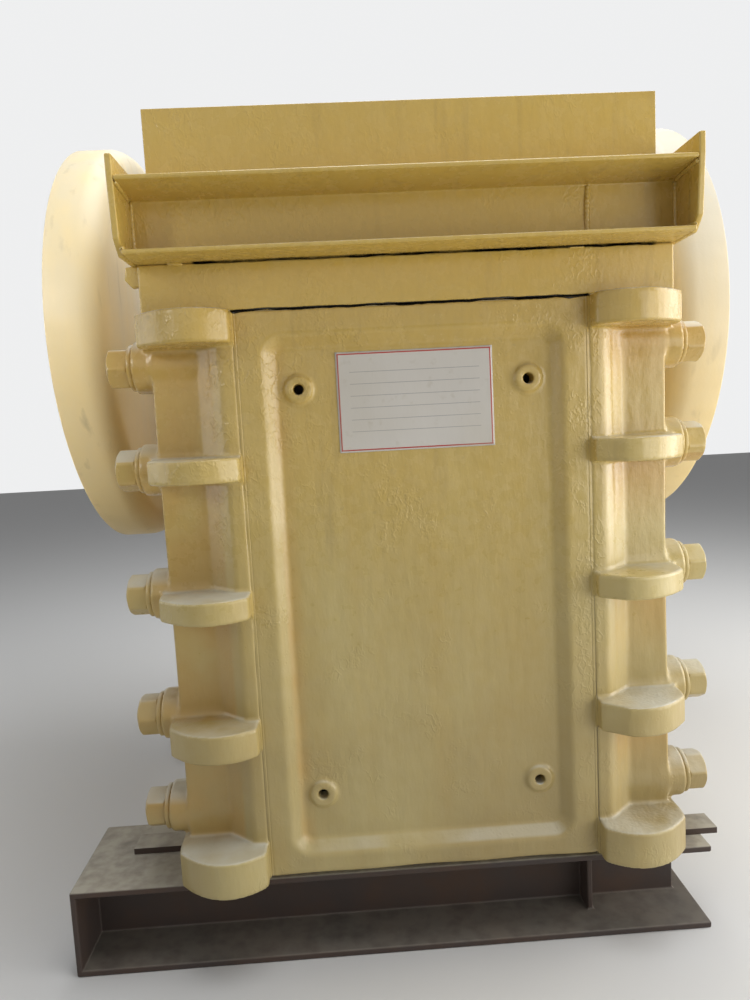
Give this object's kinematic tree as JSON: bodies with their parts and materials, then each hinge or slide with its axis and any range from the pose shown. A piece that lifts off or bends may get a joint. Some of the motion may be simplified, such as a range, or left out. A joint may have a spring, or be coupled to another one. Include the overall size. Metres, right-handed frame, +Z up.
{
  "type": "single-toggle jaw crusher",
  "caption": "Single-toggle jaw crusher with bolted cast frames, corrugated jaw plates, an eccentric shaft with flywheels, a feed collar and base beams.",
  "frame": {"origin": "middle of the machine's box on the ground, under the crushing chamber", "axes": "+Z up, +Y from the front panel to the rear, +X to the right seen from the front"},
  "size_m": [1.732, 1.757, 1.983],
  "materials": {
    "cream_paint": "thick glossy brushed enamel over rough castings",
    "manganese_steel": "dusty, worn bright on the ridges",
    "machined_steel": "oiled, dull",
    "base_steel": "dark brown, dusty, with overspray on top"
  },
  "bodies": {
    "root": {"front_frame": "cream_paint", "left_side_frame": "cream_paint", "right_side_frame": "cream_paint", "rear_frame": "cream_paint", "left_front_bolts": "cream_paint", "right_front_bolts": "cream_paint", "rear_bolts": "cream_paint", "front_lintel": "cream_paint", "left_sill": "cream_paint", "right_sill": "cream_paint", "collar_front": "cream_paint", "collar_left": "cream_paint", "collar_right": "cream_paint", "collar_rear": "cream_paint", "skirt_front": "cream_paint", "skirt_left": "cream_paint", "skirt_right": "cream_paint", "skirt_rear": "cream_paint", "fixed_jaw": "manganese_steel", "swing_jaw_plate": "manganese_steel", "jaw_wedge": "machined_steel", "left_upper_cheek": "manganese_steel", "left_lower_cheek": "manganese_steel", "right_upper_cheek": "manganese_steel", "right_lower_cheek": "manganese_steel", "pitman": "cream_paint", "barrel_rings": "machined_steel", "left_bearing": "cream_paint", "right_bearing": "cream_paint", "left_bearing_cap": "cream_paint", "right_bearing_cap": "cream_paint", "toggle_plate": "machined_steel", "front_toggle_seat": "machined_steel", "rear_toggle_seat": "machined_steel", "toggle_block": "cream_paint", "setting_shims": "machined_steel", "tension_rods": "machined_steel", "tension_springs": "machined_steel", "base_front_beam": "base_steel", "base_rear_beam": "base_steel", "packing_plates": "base_steel"},
    "rotor": {"eccentric_shaft": "machined_steel", "left_flywheel": "cream_paint", "right_flywheel": "cream_paint", "shaft_end_discs": "cream_paint"}
  },
  "joints": [
    {"name": "flywheel_spin", "type": "hinge", "parent": "root", "child": "rotor", "pos_m": [0, 0.2785, 1.383], "axis": [1, 0, 0], "continuous": true}
  ]
}
